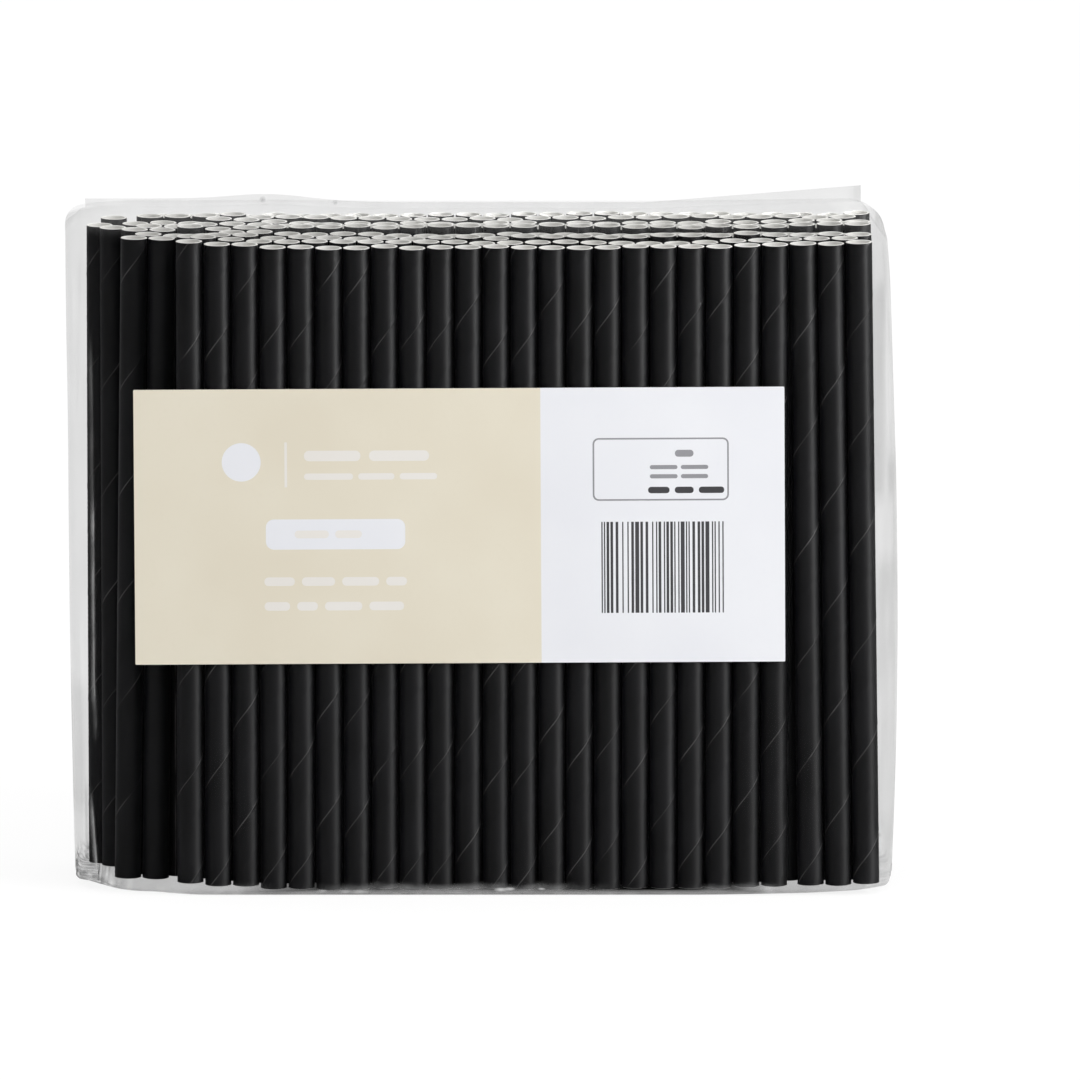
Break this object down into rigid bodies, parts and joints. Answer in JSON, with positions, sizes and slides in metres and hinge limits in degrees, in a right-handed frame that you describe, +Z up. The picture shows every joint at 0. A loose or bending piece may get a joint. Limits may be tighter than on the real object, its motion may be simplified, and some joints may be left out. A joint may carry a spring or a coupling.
{
  "type": "wrapped pack of drinking straws",
  "caption": "Clear film pack of short black paper drinking straws standing upright, with a plain cream and white label across its front.",
  "frame": {"origin": "middle of the flat base, on the surface that the pack stands on", "axes": "+X along the pack to the right as seen from the front, +Y from the labelled front to the back, +Z up along the straws"},
  "size_m": [0.1805, 0.0483, 0.1514],
  "materials": {
    "clear_film": "thin crinkled clear film, glossy",
    "label_paper": "matt coated label stock, cream at the left and white at the right",
    "straw_paper": "black wound paper with a low sheen, white inside and at the cut ends"
  },
  "bodies": {
    "root": {"film_bag": "clear_film", "label": "label_paper", "straw_front_01": "straw_paper", "straw_front_02": "straw_paper", "straw_front_03": "straw_paper", "straw_front_04": "straw_paper", "straw_front_05": "straw_paper", "straw_front_06": "straw_paper", "straw_front_07": "straw_paper", "straw_front_08": "straw_paper", "straw_front_09": "straw_paper", "straw_front_10": "straw_paper", "straw_front_11": "straw_paper", "straw_front_12": "straw_paper", "straw_front_13": "straw_paper", "straw_front_14": "straw_paper", "straw_front_15": "straw_paper", "straw_front_16": "straw_paper", "straw_front_17": "straw_paper", "straw_front_18": "straw_paper", "straw_front_19": "straw_paper", "straw_front_20": "straw_paper", "straw_front_21": "straw_paper", "straw_front_22": "straw_paper", "straw_front_23": "straw_paper", "straw_front_24": "straw_paper", "straw_front_25": "straw_paper", "straws_row_2": "straw_paper", "straws_row_3": "straw_paper", "straws_row_4": "straw_paper", "straws_row_5": "straw_paper", "straws_row_6": "straw_paper", "straws_row_7": "straw_paper", "straws_row_8": "straw_paper", "straw_back_01": "straw_paper", "straw_back_02": "straw_paper", "straw_back_03": "straw_paper", "straw_back_04": "straw_paper", "straw_back_05": "straw_paper", "straw_back_06": "straw_paper", "straw_back_07": "straw_paper", "straw_back_08": "straw_paper", "straw_back_09": "straw_paper", "straw_back_10": "straw_paper", "straw_back_11": "straw_paper", "straw_back_12": "straw_paper", "straw_back_13": "straw_paper", "straw_back_14": "straw_paper", "straw_back_15": "straw_paper", "straw_back_16": "straw_paper", "straw_back_17": "straw_paper", "straw_back_18": "straw_paper", "straw_back_19": "straw_paper", "straw_back_20": "straw_paper", "straw_back_21": "straw_paper", "straw_back_22": "straw_paper", "straw_back_23": "straw_paper", "straw_back_24": "straw_paper", "straw_back_25": "straw_paper", "straw_back_26": "straw_paper"}
  },
  "joints": []
}
